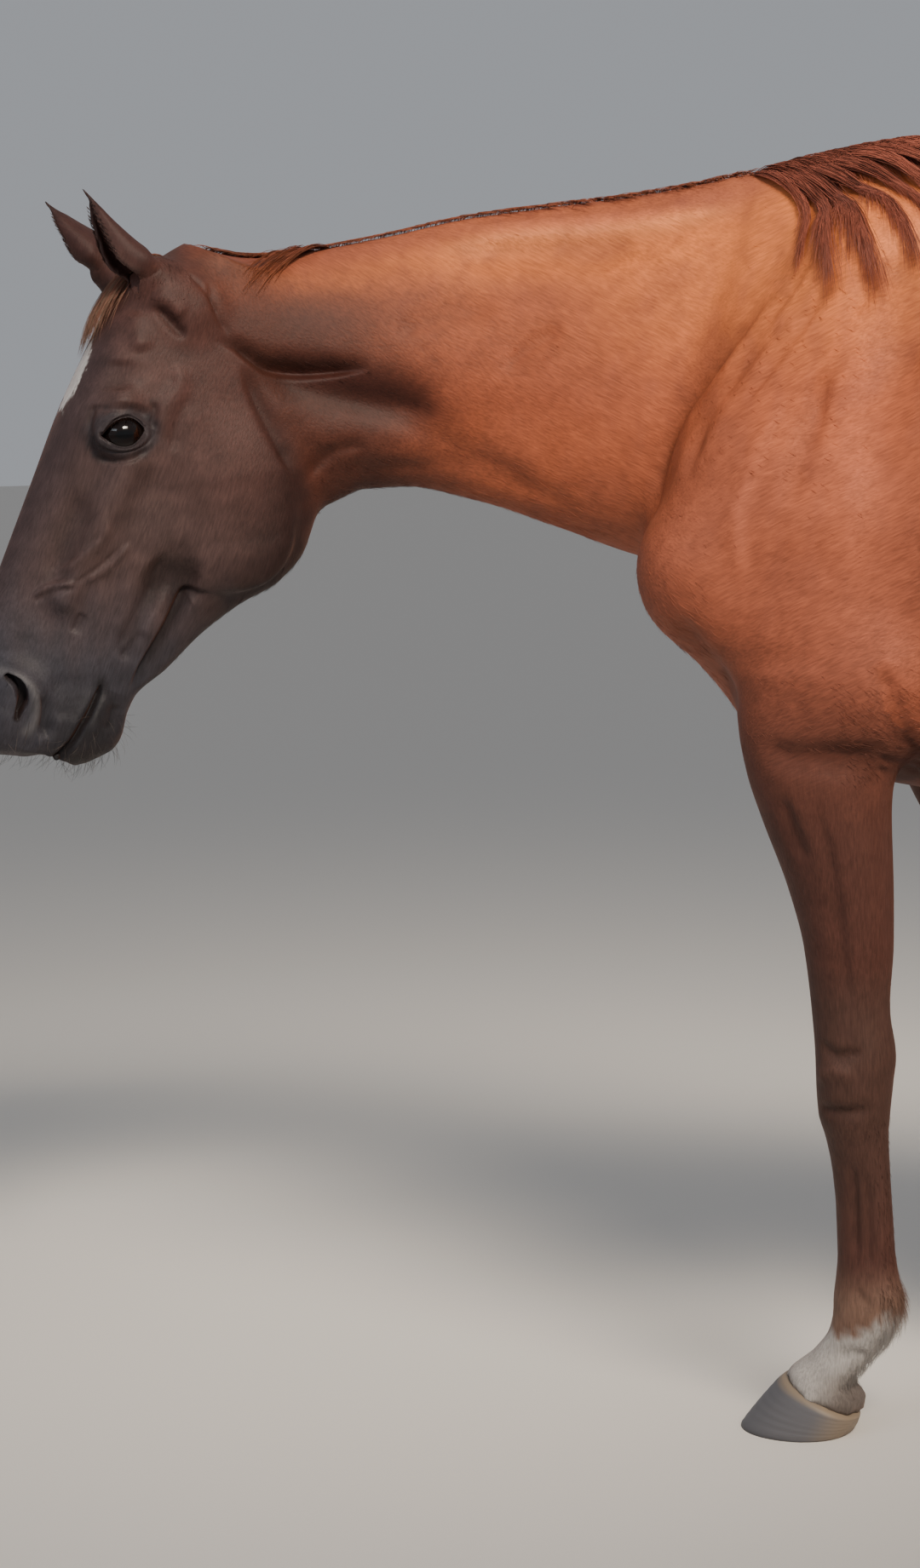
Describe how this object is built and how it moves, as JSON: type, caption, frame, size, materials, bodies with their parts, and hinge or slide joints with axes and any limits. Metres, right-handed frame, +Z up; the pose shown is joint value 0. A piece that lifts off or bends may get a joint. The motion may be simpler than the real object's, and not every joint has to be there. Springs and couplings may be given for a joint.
{
  "type": "horse",
  "caption": "Life-size chestnut riding horse standing on its hooves, neck stretched forward and turned to its left, with mane, forelock and tail.",
  "frame": {"origin": "centre of the bounding box at the level of the soles", "axes": "+X from the head toward the tail, +Y to the horse's right side, +Z up"},
  "size_m": [2.5448, 0.7958, 1.6201],
  "materials": {
    "coat": "short glossy hair lying flat",
    "long_hair": "long straight hair, slightly glossy",
    "hoof_horn": "dry pale horn with fine rings",
    "eye": "wet, clear and glossy"
  },
  "bodies": {
    "root": {"trunk": "coat", "neck": "coat", "head": "coat", "eye_left": "eye", "eye_right": "eye", "ear_left": "coat", "ear_right": "coat", "mane": "long_hair", "forelock": "long_hair", "tail": "long_hair", "upper_fore_left": "coat", "lower_fore_left": "coat", "hoof_fore_left": "hoof_horn", "upper_fore_right": "coat", "lower_fore_right": "coat", "hoof_fore_right": "hoof_horn", "upper_hind_left": "coat", "lower_hind_left": "coat", "hoof_hind_left": "hoof_horn", "upper_hind_right": "coat", "lower_hind_right": "coat", "hoof_hind_right": "hoof_horn"}
  },
  "joints": []
}
